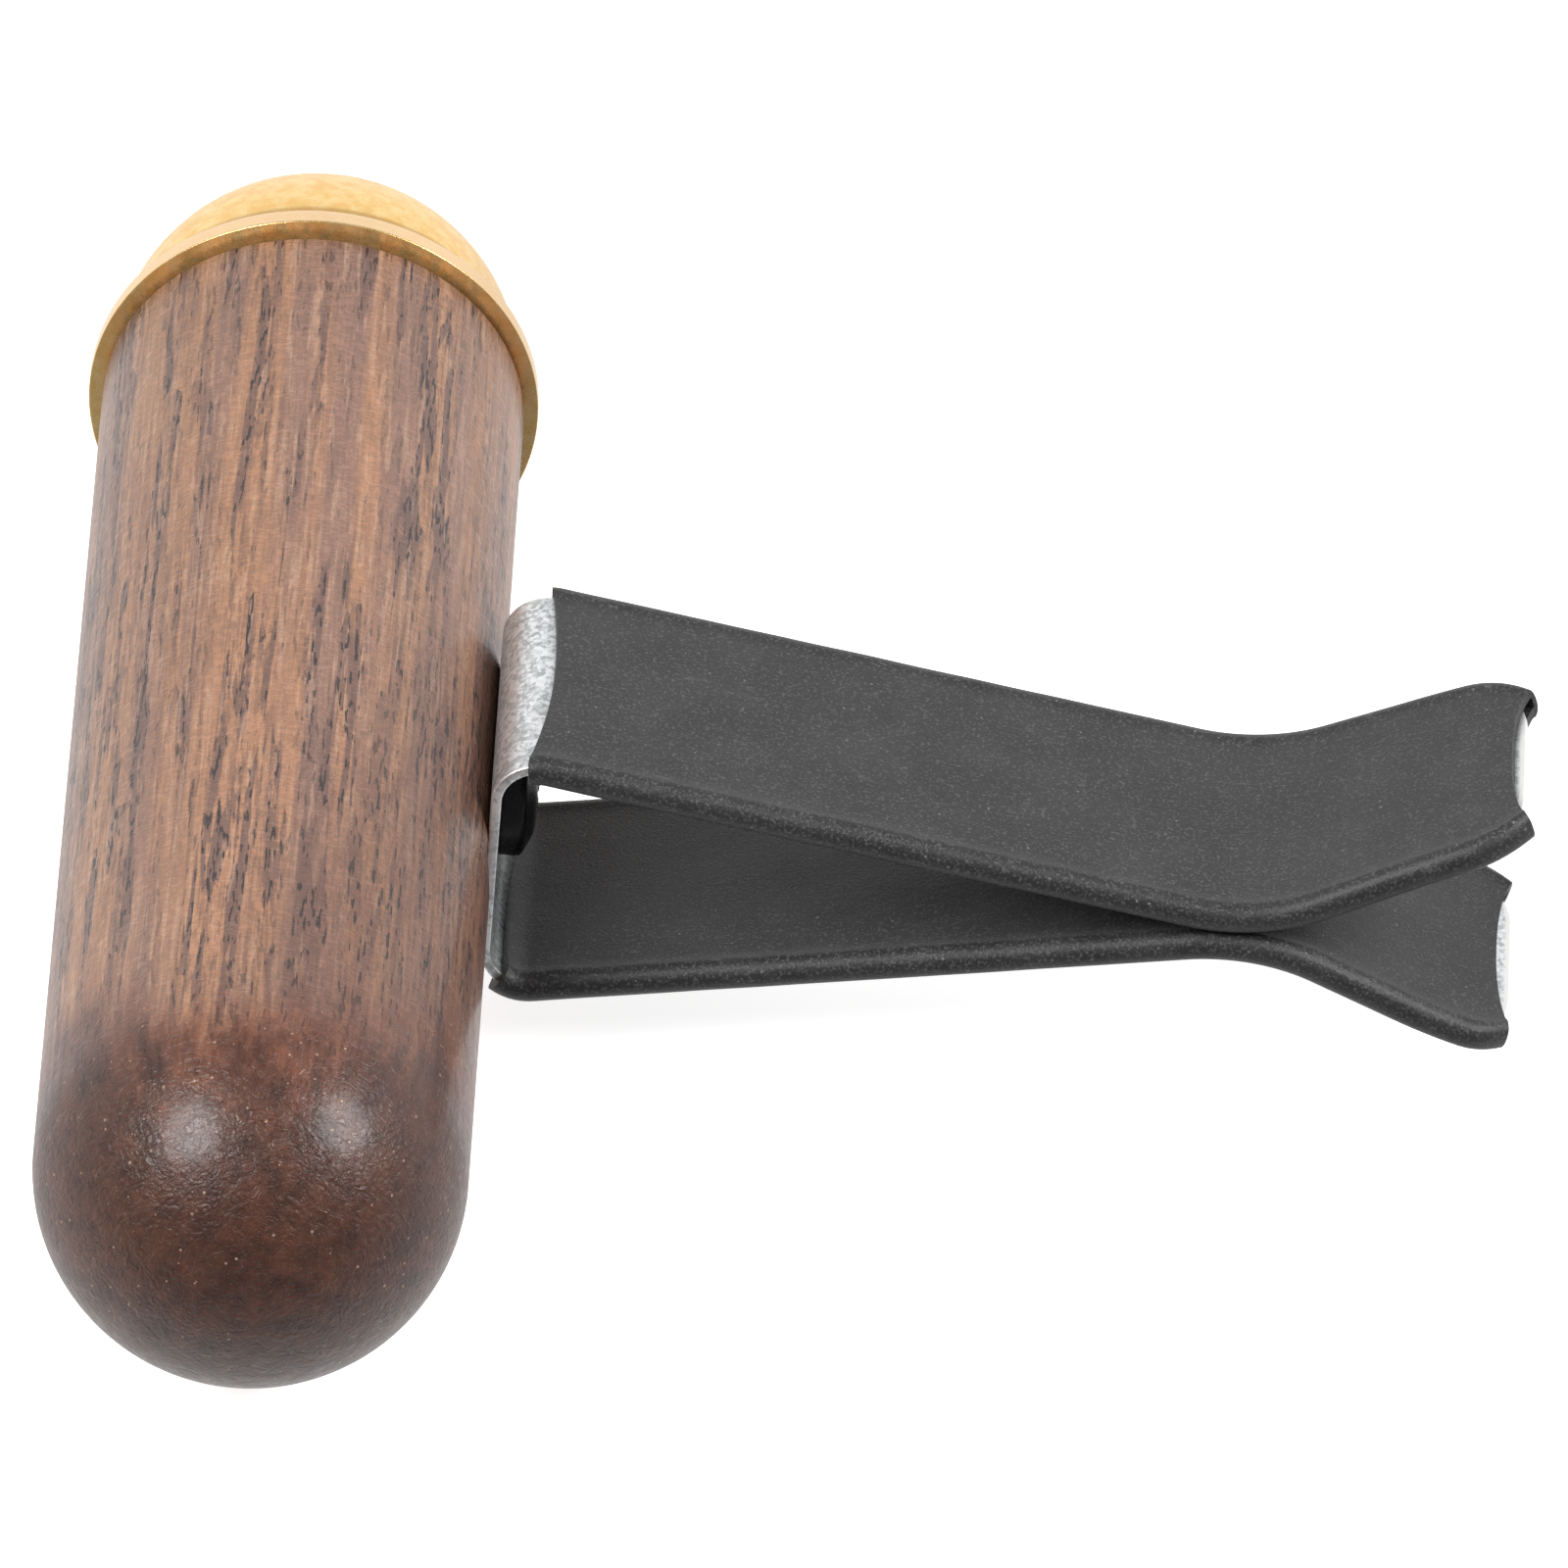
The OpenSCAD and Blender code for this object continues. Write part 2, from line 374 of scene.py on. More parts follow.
def end_cap(first, count, reverse=False):
    """Faces that close one end of a swept flat section, between its top and its mirrored bottom."""
    faces = []
    for j in range(count // 2):
        face = [first + j, first + j + 1, first + (count - j - 1) % count, first + (count - j) % count]
        face = list(dict.fromkeys(face))
        faces.append(tuple(reversed(face)) if reverse else tuple(face))
    return faces


# ---------------------------------------------------------------- materials
class Shader:
    """Adds nodes to one material. An input can be a socket or a plain value."""

    def __init__(self, name):
        self.material = bpy.data.materials.new(name)
        self.material.use_nodes = True
        self.tree = self.material.node_tree
        self.surface = self.tree.nodes["Principled BSDF"]

    def node(self, kind, inputs, output=0, **settings):
        made = self.tree.nodes.new("ShaderNode" + kind)
        for key, value in settings.items():
            setattr(made, key, value)
        for key, value in inputs.items():
            if isinstance(value, bpy.types.NodeSocket):
                self.tree.links.new(value, made.inputs[key])
            else:
                made.inputs[key].default_value = value
        return made.outputs[output]

    def place(self, centre=(0, 0, 0), turn=(0, 0, 0)):
        """Object position in millimetres from a centre, turned by angles in degrees."""
        raw = self.node("TexCoord", {}, output="Object")
        scaled = self.node("VectorMath", {0: raw, "Scale": 1 / MM}, operation="SCALE")
        moved = self.node("VectorMath", {0: scaled, 1: centre}, operation="SUBTRACT")
        return self.node("Mapping", {"Vector": moved, "Rotation": [math.radians(a) for a in turn]})

    def stretch(self, vector, factors):
        return self.node("VectorMath", {0: vector, 1: factors}, operation="MULTIPLY")

    def noise(self, vector, scale, detail=2.0, rough=0.5, bend=0.0):
        inputs = {"Vector": vector, "Scale": scale, "Detail": detail, "Roughness": rough, "Distortion": bend}
        return self.node("TexNoise", inputs)

    def cells(self, vector, scale, feature="F1", output="Distance"):
        return self.node("TexVoronoi", {"Vector": vector, "Scale": scale}, output=output, feature=feature)

    def ramp(self, value, low, high, to_low=0.0, to_high=1.0):
        inputs = {"Value": value, "From Min": low, "From Max": high, "To Min": to_low, "To Max": to_high}
        return self.node("MapRange", inputs, interpolation_type="SMOOTHSTEP")

    def math(self, operation, a, b=0.0):
        return self.node("Math", {0: a, 1: b}, operation=operation)

    def mix(self, factor, a, b, blend="MIX"):
        a, b = ((*c, 1.0) if isinstance(c, tuple) else c for c in (a, b))
        return self.node("Mix", {0: factor, 6: a, 7: b}, output=2, data_type="RGBA", blend_type=blend)

    def times(self, a, b):
        return self.math("MULTIPLY", a, b)

    def dots(self, place, scale, smallest, largest, rarity):
        """Round flecks of mixed sizes, one in some of the cells of a pattern."""
        pick = self.cells(place, scale, output="Color")
        size = self.ramp(self.axis(pick, 1), 0, 1, smallest, largest)
        edge = self.math("SUBTRACT", size, self.cells(place, scale))
        return self.times(self.ramp(edge, 0, 0.05), self.ramp(self.axis(pick, 0), *rarity))

    def axis(self, vector, index):
        return self.node("SeparateXYZ", {0: vector}, output=index)

    def bump(self, height, depth_mm):
        return self.node("Bump", {"Height": height, "Distance": depth_mm * MM})

    def finish(self, **inputs):
        for key, value in inputs.items():
            socket = self.surface.inputs[key.replace("_", " ")]
            if isinstance(value, bpy.types.NodeSocket):
                self.tree.links.new(value, socket)
            else:
                socket.default_value = (*value, 1.0) if isinstance(value, tuple) else value
        return self.material


def walnut_side(m, place, along):
    """Colour of the barrel's side, with streaks, dashes and dark fine lines along the grain, pale fine lines
    painted beside them as highlights, painted shade on the side towards the clip and the nose, and its pores.
    """
    band = m.noise(m.stretch(along, (1, 0.03, 1)), 0.5, detail=2)
    colour = m.mix(m.ramp(band, 0.38, 0.6), (0.265, 0.143, 0.1), (0.36, 0.178, 0.096))
    # shady marks the side towards the clip and the nose: denser streaks there, and painted shade below
    toward_clip = m.node("VectorMath", {0: place, 1: (0.1, -0.024, 0)}, output=1, operation="DOT_PRODUCT")
    shady = m.ramp(toward_clip, 0.25, 0.95)
    figure = m.noise(m.stretch(along, (1, 0.05, 1)), 0.7, detail=2)
    dense = m.math("MAXIMUM", m.ramp(figure, 0.42, 0.58), m.times(shady, 0.9))
    ragged = m.noise(m.stretch(along, (1, 0.3, 1)), 3.2, detail=3, rough=0.6)
    jitter = m.times(m.math("SUBTRACT", ragged, 0.5), 0.2)
    streak = m.noise(m.stretch(along, (1, 0.04, 1)), 2.1, detail=2, rough=0.5)
    streak_mask = m.times(m.ramp(m.math("ADD", streak, jitter), 0.54, 0.59), m.ramp(dense, 0, 1, 0.35, 1))
    dash = m.axis(m.cells(m.stretch(along, (1, 0.07, 1)), 3.0, output="Color"), 0)
    dash_mask = m.times(m.ramp(m.math("ADD", dash, jitter), 0.7, 0.76), m.ramp(dense, 0, 1, 0.3, 1))
    dark = m.math("MAXIMUM", m.times(streak_mask, 0.66), m.times(dash_mask, 0.72))
    colour = m.mix(dark, colour, (0.095, 0.055, 0.053))
    thin = m.noise(m.stretch(along, (1, 0.05, 1)), 4.2, detail=2, rough=0.6)
    thin_mask = m.times(m.ramp(thin, 0.5, 0.57), m.ramp(dense, 0, 1, 0.35, 0.9))
    colour = m.mix(m.times(thin_mask, 0.5), colour, (0.12, 0.06, 0.045))
    # painted highlights: pale fine lines along the grain stand in for the glints on its ridges
    colour = m.mix(m.ramp(thin, 0.43, 0.36, 0, 0.35), colour, (0.5, 0.31, 0.21))
    # painted shade: the side towards the clip and the nose is darkened
    colour = m.mix(m.times(shady, 0.6), colour, (0.125, 0.05, 0.03))
    pore = m.noise(m.stretch(along, (1, 0.14, 1)), 6.5, detail=1)
    pore_where = m.math("ADD", m.times(dark, 1.2), m.ramp(dense, 0, 1, 0.12, 0.3))
    pore_mask = m.times(m.ramp(pore, 0.58, 0.64), pore_where)
    return m.mix(m.times(pore_mask, 0.9), colour, (0.028, 0.015, 0.013)), pore_mask


def walnut_nose(m, place, along, colour):
    """Lays the nose's dark, blotchy end grain over the side's colour, with a ragged edge and pale flecks."""
    aside = m.math("ABSOLUTE", m.axis(place, 0))
    depth = m.math("SUBTRACT", NOSE_Y + 0.4, m.axis(m.place(), 1))
    depth = m.math("ADD", depth, m.ramp(aside, 1.5, 9.0, 0, 5.5))
    cloud = m.noise(m.stretch(along, (1, 0.3, 1)), 0.9, detail=5, rough=0.65)
    fingers = m.noise(m.stretch(along, (1, 0.06, 1)), 1.4, detail=3, rough=0.6)
    ragged = m.math("ADD", m.times(cloud, 6.0), m.times(fingers, 8.0))
    edge = m.math("ADD", depth, m.math("SUBTRACT", ragged, 7.0))
    tone = m.noise(m.stretch(along, (1, 0.35, 1)), 1.0, detail=6, rough=0.62)
    near_colour = m.mix(m.ramp(tone, 0.3, 0.68), (0.085, 0.026, 0.015), (0.2, 0.072, 0.039))
    far_colour = m.mix(m.ramp(tone, 0.25, 0.7), (0.035, 0.012, 0.008), (0.09, 0.032, 0.019))
    end_colour = m.mix(m.ramp(edge, 1.0, 6.5), near_colour, far_colour)
    fleck = m.dots(place, 2.6, 0.06, 0.2, rarity=(0.62, 0.68))
    end_colour = m.mix(m.times(fleck, 0.75), end_colour, (0.45, 0.3, 0.22))
    return m.mix(m.times(m.ramp(edge, -1.5, 4.0), 0.94), colour, end_colour)


def walnut():
    """Oiled walnut: grain along the barrel, open pores, and dark end grain with pale flecks on the nose."""
    m = Shader("walnut")
    place = m.place(centre=(BARREL_X, 0, 0), turn=(0, 0, 0.4))
    wander = m.noise(m.stretch(place, (1, 0.08, 1)), 0.25, detail=2)
    drift = m.times(m.math("SUBTRACT", wander, 0.5), 0.6)
    offset = m.node("CombineXYZ", {0: drift, 1: 0.0, 2: drift})
    along = m.node("VectorMath", {0: place, 1: offset}, operation="ADD")
    colour, pore_mask = walnut_side(m, place, along)
    colour = walnut_nose(m, place, along, colour)

    wrinkle = m.noise(m.stretch(place, (0.8, 1.5, 0.8)), 1.9, detail=2, rough=0.5, bend=0.9)
    ridge = m.math("ABSOLUTE", m.math("SUBTRACT", wrinkle, 0.5))
    lines = m.noise(m.stretch(along, (1, 0.05, 1)), 5.0, detail=2)
    height = m.math("ADD", m.times(ridge, 1.6), m.times(lines, 0.6))
    height = m.math("SUBTRACT", height, m.times(pore_mask, 0.6))
    # painted shade in the wrinkles' hollows and a little painted light on their ridges, multiplied into the
    # colour
    painted_wrinkle_shade = m.ramp(ridge, 0.0, 0.12, 0.84, 1.06)
    colour = m.mix(1.0, colour, m.node("CombineXYZ", {0: painted_wrinkle_shade, 1: painted_wrinkle_shade, 2: painted_wrinkle_shade}), blend="MULTIPLY")
    return m.finish(
        Base_Color=colour,
        Roughness=m.ramp(wrinkle, 0.3, 0.7, 0.36, 0.48),
        Specular_IOR_Level=0.45,
        Coat_Weight=0.25,
        Coat_Roughness=0.2,
        Normal=m.bump(height, 0.075),
    )


def gold():
    """Satin gold dome, fine blasted grain and faint cloudy patches, with a pale turned edge on the flange, and
    painted shade in the crease under the dome and on the cap's right side.
    """
    m = Shader("gold")
    place = m.place(centre=(BARREL_X, SEAT_Y, 0))
    cloud = m.noise(place, 1.3, detail=4, rough=0.7)
    colour = m.mix(m.ramp(cloud, 0.35, 0.65), (0.93, 0.59, 0.21), (1.0, 0.73, 0.34))
    height = m.axis(place, 1)
    edge = m.times(m.ramp(height, 0.03, 0.12), m.ramp(height, FLANGE_T + 0.02, FLANGE_T - 0.06))
    turned = m.noise(m.stretch(place, (0.04, 6, 0.04)), 1.5, detail=2)
    colour = m.mix(m.times(edge, m.ramp(turned, 0.3, 0.7, 0.7, 1)), colour, (0.95, 0.68, 0.42))
    under = m.ramp(height, 0.04, 0.0)
    # painted shade: a dark bronze band on the skirt, in the crease between the flange and the dome
    below_dome = m.ramp(height, DOME_BASE + 0.5, DOME_BASE + 0.2)
    painted_crease_shade = m.times(m.ramp(height, FLANGE_T, FLANGE_T + 0.3), below_dome)
    colour = m.mix(m.times(painted_crease_shade, 0.6), colour, (0.48, 0.26, 0.08))
    # painted shade: the cap darkened towards its right side
    colour = m.mix(m.ramp(m.axis(place, 0), 4.5, 8.5, 0, 0.4), colour, (0.62, 0.4, 0.2))
    grain = m.noise(place, 14.0, detail=2)
    satin = m.ramp(grain, 0.3, 0.7, 0.26, 0.4)
    return m.finish(
        Base_Color=colour,
        Metallic=m.math("SUBTRACT", 1.0, m.times(under, 0.22)),
        Roughness=m.math("SUBTRACT", satin, m.times(m.math("ADD", edge, under), 0.12)),
        Normal=m.bump(m.math("ADD", grain, m.times(turned, edge)), 0.006),
    )


def bright_steel():
    """Galvanised spring steel: mottled spangle, brighter at its cut edges, where wear is laid on together with a
    painted highlight.
    """
    m = Shader("spring_steel")
    place = m.place()
    flake = m.axis(m.cells(place, 4.5, output="Color"), 0)
    mottle = m.noise(place, 4.0, detail=4, rough=0.7)
    tone = m.math("ADD", m.times(flake, 0.3), m.times(mottle, 0.9))
    colour = m.mix(m.ramp(tone, 0.38, 0.78), (0.47, 0.485, 0.49), (0.9, 0.92, 0.93))
    # painted highlight along the cut edges, found by their pointiness, together with their wear
    pale_edge = m.ramp(m.node("NewGeometry", {}, output="Pointiness"), 0.51, 0.56)
    colour = m.mix(pale_edge, colour, (0.93, 0.93, 0.92))
    return m.finish(
        Base_Color=colour,
        Metallic=0.85,
        Roughness=m.ramp(mottle, 0.3, 0.7, 0.5, 0.3),
        Normal=m.bump(tone, 0.012),
    )


def black_vinyl():
    """Soft black plastic tube: fine pale speckle, a few scuffs along the arm and a faint mould grain."""
    m = Shader("sleeve_plastic")
    place = m.place()
    speckle = m.noise(place, 7.5, detail=3, rough=0.65)
    tone = m.noise(place, 0.35, detail=3)
    colour = m.mix(m.ramp(tone, 0.35, 0.65), (0.019, 0.019, 0.0195), (0.026, 0.026, 0.0265))
    colour = m.mix(m.ramp(speckle, 0.5, 0.68, 0, 0.6), colour, (0.12, 0.12, 0.12))
    dust = m.dots(place, 1.9, 0.05, 0.14, rarity=(0.5, 0.6))
    colour = m.mix(m.times(dust, 0.4), colour, (0.3, 0.3, 0.3))
    scuff = m.noise(m.stretch(place, (0.3, 1, 1)), 1.6, detail=4, rough=0.75, bend=0.5)
    colour = m.mix(m.ramp(scuff, 0.62, 0.72, 0, 0.25), colour, (0.16, 0.16, 0.16))
    height = m.math("ADD", m.times(speckle, 0.7), m.times(scuff, 0.3))
    return m.finish(
        Base_Color=colour,
        Roughness=m.ramp(speckle, 0.35, 0.7, 0.4, 0.54),
        Specular_IOR_Level=0.45,
        Normal=m.bump(height, 0.045),
    )


def black_paint():
    """Gloss black electro-coated steel, a little thin on its rim."""
    m = Shader("black_screw")
    place = m.place()
    fleck = m.noise(place, 6.0, detail=3)
    pale_edge = m.ramp(m.node("NewGeometry", {}, output="Pointiness"), 0.54, 0.6, 0, 0.5)
    paint = m.mix(m.ramp(fleck, 0.4, 0.7), (0.004, 0.004, 0.004), (0.009, 0.009, 0.009))
    colour = m.mix(pale_edge, paint, (0.08, 0.08, 0.08))
    return m.finish(
        Base_Color=colour,
        Roughness=m.ramp(fleck, 0.3, 0.7, 0.26, 0.4),
        Specular_IOR_Level=0.5,
        Normal=m.bump(fleck, 0.008),
    )


def brass():
    """Machined brass with turning lines."""
    m = Shader("insert_brass")
    place = m.place(centre=(BARREL_X, MOUTH_Y, 0))
    lines = m.noise(m.stretch(place, (0.05, 9, 0.05)), 2.0, detail=2)
    tarnish = m.noise(place, 0.8, detail=3)
    return m.finish(
        Base_Color=m.mix(m.ramp(tarnish, 0.35, 0.7), (0.74, 0.52, 0.2), (0.5, 0.33, 0.13)),
        Metallic=1.0,
        Roughness=m.ramp(lines, 0.3, 0.7, 0.24, 0.42),
        Normal=m.bump(lines, 0.01),
    )


def seal_rubber():
    """Matte black rubber with a dusty bloom."""
    m = Shader("seal_rubber")
    place = m.place()
    bloom = m.noise(place, 2.5, detail=3)
    grain = m.noise(place, 18.0)
    return m.finish(
        Base_Color=m.mix(m.ramp(bloom, 0.4, 0.7), (0.018, 0.018, 0.019), (0.04, 0.04, 0.04)),
        Roughness=m.ramp(grain, 0.3, 0.7, 0.6, 0.78),
        Normal=m.bump(grain, 0.01),
    )


def wool_felt():
    """Pressed wool: short crossing fibres and soft pilling."""
    m = Shader("felt")
    place = m.place()
    fibre = m.noise(m.stretch(place, (1, 0.25, 1)), 9.0, detail=4, rough=0.7, bend=1.2)
    clump = m.noise(place, 1.6, detail=4, rough=0.6)
    colour = m.mix(m.ramp(clump, 0.35, 0.65), (0.74, 0.69, 0.58), (0.86, 0.83, 0.75))
    colour = m.mix(m.ramp(fibre, 0.5, 0.75, 0, 0.5), colour, (0.55, 0.5, 0.4))
    height = m.math("ADD", m.times(fibre, 0.6), m.times(clump, 0.4))
    return m.finish(Base_Color=colour, Roughness=0.95, Sheen_Weight=0.4, Normal=m.bump(height, 0.12))


def pale_floor():
    """Plain pale studio paper. Only the camera sees it, so the room below still lights the object's edges."""
    m = Shader("studio_floor")
    seen = m.node("LightPath", {}, output="Is Camera Ray")
    return m.finish(
        Base_Color=(0.9, 0.9, 0.9),
        Roughness=0.9,
        Specular_IOR_Level=0.0,
        Emission_Color=(1.0, 1.0, 1.0),
        Emission_Strength=FLOOR_GLOW,
        Alpha=seen,
    )


# ---------------------------------------------------------------- the barrel and what it holds
def flattened(points):
    """Mills the clip's flat into barrel points: a shallow land facing the clip, eased at both ends."""
    out = points.copy()
    depth = FLAT_DEPTH * smoothstep(FLAT_HALF + 0.7, FLAT_HALF - 0.1, np.abs(points[:, 1]))
    limit = BARREL_X + BARREL_R - depth
    outside = np.hypot(points[:, 0] - BARREL_X, points[:, 2]) > BARREL_R - 0.05
    over = outside & (points[:, 0] > limit)
    out[over, 0] = limit[over]
    return out


def drill(piece, radius, ends, segments, material):
    """Drills the piece along the screw's axis, between two heights above the clip's inner face."""
    low, high = ends
    hole = [(0, low), (radius, low), (radius, high), (0, high)]
    points, faces = revolved(hole, segments, on_screw, wrap=False)
    carve(piece, make_piece("drill", points, faces, material))


def build_barrel(material):
    """Turned walnut barrel with a round nose, a milled flat, a pilot hole and a blind oil chamber."""
    nose_arc = [
        (BARREL_R * math.sin(a), NOSE_Y - MOUTH_Y - BARREL_R * math.cos(a))
        for a in np.linspace(0, math.pi / 2, 40)[:-1]
    ]
    side_and_inside = rounded(
        [
            (BARREL_R, NOSE_Y - MOUTH_Y, 0),
            (BARREL_R, 0, MOUTH_EDGE),
            (SEAL_GROOVE_R, 0, 0.1),
            (SEAL_GROOVE_R, INSERT_TOP, 0),
            (INSERT_R + FIT_GAP, INSERT_TOP, 0),
            (INSERT_R + FIT_GAP, INSERT_BOTTOM, 0),
            (CHAMBER_R, INSERT_BOTTOM, 0.15),
            (CHAMBER_R, -CHAMBER_DEPTH, 0.6),
            (0, -CHAMBER_DEPTH, 0),
        ],
        closed=False,
    )
    outline = np.vstack((nose_arc, divided(side_and_inside, 0.45, closed=False)))
    points, faces = revolved(outline, 208, on_barrel, wrap=False)
    barrel = make_piece("barrel", flattened(points), faces, material)
    drill(barrel, SHANK_R + FIT_GAP, (-SHANK_LEN, 0.4), 32, material)
    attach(barrel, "barrel")
    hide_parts("wood_body")


def build_insert(material):
    """Threaded brass bush in the barrel's mouth, knurled outside where the glue holds it."""
    bore = SPIGOT_R + THREAD_GAP
    outline = divided(
        rounded(
            [
                (bore, INSERT_TOP, 0.2),
                (INSERT_R, INSERT_TOP, 0.15),
                (INSERT_R, INSERT_BOTTOM, 0.15),
                (bore, INSERT_BOTTOM, 0.2),
            ],
            arc_steps=3,
        ),
        0.09,
    )

    def shape(r, h, angles):
        if r < bore + 0.05:
            return r + THREAD_DEPTH * (thread_wave(h, angles) - 0.5)
        if r > INSERT_R - 0.01:
            return r - KNURL_DEPTH * (0.5 + 0.5 * np.cos(angles * KNURL_TEETH)) * (h < INSERT_TOP - 0.6)
        return np.full(len(angles), r)

    points, faces = revolved(outline, 144, on_barrel, shape=shape)
    insert = make_piece("mouth_bush", points, faces, material)
    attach(insert, "barrel")
    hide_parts("thread_insert")


def build_wick(material):
    """Felt wick: a soft-edged rod with an uneven, fuzzy surface."""
    radius = (WICK_HIGH[0] - WICK_LOW[0]) / 2 - 0.15
    low, high = WICK_LOW[1] - MOUTH_Y + 0.1, WICK_HIGH[1] - MOUTH_Y - 0.1
    corners = [(0, low, 0), (radius, low, 0.7), (radius, high, 0.7), (0, high, 0)]
    outline = divided(rounded(corners, closed=False), 0.35, closed=False)
    points, faces = revolved(outline, 96, on_barrel, wrap=False)
    fuzz = np.array([noise.noise(Vector(p) * 1.7) * 0.1 + noise.noise(Vector(p) * 5.0) * 0.05 for p in points])
    centre = np.array((BARREL_X, MOUTH_Y + (low + high) / 2, 0))
    away = points - centre
    away[:, 1] *= 0.1
    points = points + away / np.maximum(np.linalg.norm(away, axis=1, keepdims=True), 1e-6) * fuzz[:, None]
    wick = make_piece("felt_wick", points, faces, material, sharp=180)
    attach(wick, "barrel")
    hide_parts("scent_core")


# ---------------------------------------------------------------- the cap
def build_cap(material):
    """Domed, flanged cap on a threaded spigot, with a bore that leads to the vent in the dome."""
    vent_rise = math.sqrt(DOME_R**2 - VENT_R**2)
    dome = [
        (DOME_R * math.cos(a), DOME_BASE + DOME_R * math.sin(a))
        for a in np.linspace(0, math.acos((VENT_R + 0.15) / DOME_R), 36)
    ]
    outside = rounded(
        [
            (SPIGOT_BORE_R, -SPIGOT_LEN, 0),
            (SPIGOT_R, -SPIGOT_LEN, 0.3),
            (SPIGOT_R, -0.55, 0.05),
            (SPIGOT_R - 0.3, -0.4, 0.05),
            (SPIGOT_R - 0.3, 0, 0.05),
            (FLANGE_R, 0, 0.04),
            (FLANGE_R, FLANGE_T, 0.14),
            (DOME_R + 0.12, FLANGE_T, 0.05),
            (DOME_R + 0.05, FLANGE_T - 0.12, 0.04),
            (DOME_R, FLANGE_T + 0.05, 0),
        ],
        closed=False,
        arc_steps=4,
    )
    inside = rounded(
        [
            (VENT_R + 0.15, DOME_BASE + vent_rise, 0),
            (VENT_R, DOME_BASE + vent_rise - 0.15, 0),
            (VENT_R, CAP_BORE_TOP, 0.05),
            (SPIGOT_BORE_R, CAP_BORE_TOP, 0.3),
            (SPIGOT_BORE_R, -SPIGOT_LEN + 0.01, 0),
        ],
        closed=False,
        arc_steps=3,
    )
    outline = np.vstack((divided(outside, 0.09, closed=False), dome, divided(inside, 0.6, closed=False)))

    def shape(r, h, angles):
        if abs(r - SPIGOT_R) > 1e-6 or h > -0.5:
            return np.full(len(angles), r)
        fade = smoothstep(-SPIGOT_LEN, -SPIGOT_LEN + 0.5, h) * smoothstep(-0.5, -0.9, h)
        return r + THREAD_DEPTH * (thread_wave(h + SEAT_Y - MOUTH_Y, angles) - 0.5) * fade

    points, faces = revolved(outline, 192, on_cap, shape=shape)
    cap = make_piece("screw_cap", points, faces, material)
    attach(cap, "cap")
    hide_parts("cap")


def build_seal(material):
    """The rubber ring under the flange, with the fine flash that its mould leaves round its middle."""
    low, high = box_mm("seal_ring")
    section_r = (high[1] - low[1]) / 2
    ring_r = (high[0] - low[0]) / 2 - section_r
    middle = (low[1] + high[1]) / 2 - MOUTH_Y
    outline = []
    for a in np.arange(56) * 2 * math.pi / 56:
        r = section_r - SEAL_FLASH * (1 - math.exp(-((math.sin(a) / 0.1) ** 2)))
        outline.append((ring_r + r * math.cos(a), middle + r * math.sin(a)))
    points, faces = revolved(outline, 128, on_barrel)
    seal = make_piece("flange_seal", points, faces, material, sharp=60)
    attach(seal, "seal")
    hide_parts("seal_ring")


# ---------------------------------------------------------------- the clip
def build_plate(material):
    """The clip's flat back, with its screw hole. Its top and bottom edges meet the two arms."""
    loop = flat_loop(STRIP_T / 2, STRIP_W / 2, 0.08, across=36)
    rows = 13
    points = []
    for z in np.linspace(-PLATE_TOP, PLATE_TOP, rows):
        points.extend((PLATE_X - offset, y, z) for offset, y in loop)
    count = len(loop)
    faces = grid_faces(rows, count) + end_cap(0, count, True) + end_cap((rows - 1) * count, count)
    plate = make_piece("clip_back", points, faces, material)
    drill(plate, PLATE_HOLE_R, (-STRIP_T - 1, 1), 48, material)
    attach(plate, "barrel")
    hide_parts("clip_base")


def build_strip(side, material):
    """One arm of the spring strip: it starts on the plate's edge and follows the arm's bends out to the lip."""
    half_w = STRIP_W / 2
    loop = flat_loop(STRIP_T / 2, half_w, 0.08, across=24)

    def s_at(u, y, offset):
        corner = max(0.0, abs(y) - (half_w - TIP_CORNER_R))
        back = TIP_CORNER_R - math.sqrt(max(0.0, TIP_CORNER_R**2 - corner**2))
        return u * (ARM_LENGTH - back)

    rows = 170
    points = swept(lambda u: loop, rows, s_at, side)
    along = np.repeat(np.arange(rows) / (rows - 1), len(loop)) * ARM_LENGTH
    taper_end = ARM_LENGTH - 1.6
    points[:, 1] *= 1 - SLEEVE_TAPER / half_w * smoothstep(taper_end - TAPER_LEN, taper_end, along)
    count = len(loop)
    faces = grid_faces(rows, count) + end_cap(0, count, True) + end_cap((rows - 1) * count, count)
    name = NAME_OF_SIDE[side]
    strip = make_piece(name + "_spring", points, faces, material)
    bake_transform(strip)
    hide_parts(name + "_jaw")


